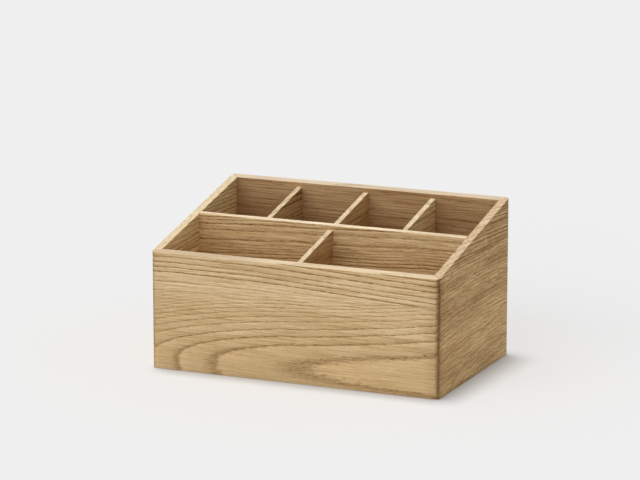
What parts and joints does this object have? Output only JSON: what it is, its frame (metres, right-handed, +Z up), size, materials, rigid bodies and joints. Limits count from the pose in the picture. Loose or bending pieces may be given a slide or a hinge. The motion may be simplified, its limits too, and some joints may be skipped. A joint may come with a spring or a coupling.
{
  "type": "desk organizer",
  "caption": "Open-top oak desk organizer: a mitred box with a sloping rim, a long divider between the rows and cross dividers that form upright pen bays and wider tool bays.",
  "frame": {"origin": "middle of the flat underside", "axes": "+X to the right along the long side, +Y from the low front to the high back, +Z up"},
  "size_m": [0.2, 0.1254, 0.1059],
  "materials": {
    "wall_oak": "clear matt oiled oak, open grain along each board",
    "divider_oak": "clear matt oiled oak, thin boards, open grain",
    "floor_oak": "clear matt oiled oak board",
    "spline_oak": "plain sawn oak strip, hidden in the mitre"
  },
  "bodies": {
    "root": {"front_panel": "wall_oak", "back_panel": "wall_oak", "left_side_panel": "wall_oak", "right_side_panel": "wall_oak", "floor_panel": "floor_oak", "long_divider": "divider_oak", "centre_divider": "divider_oak", "rear_divider_left": "divider_oak", "rear_divider_right": "divider_oak", "corner_spline_front_left": "spline_oak", "corner_spline_front_right": "spline_oak", "corner_spline_back_left": "spline_oak", "corner_spline_back_right": "spline_oak"}
  },
  "joints": []
}
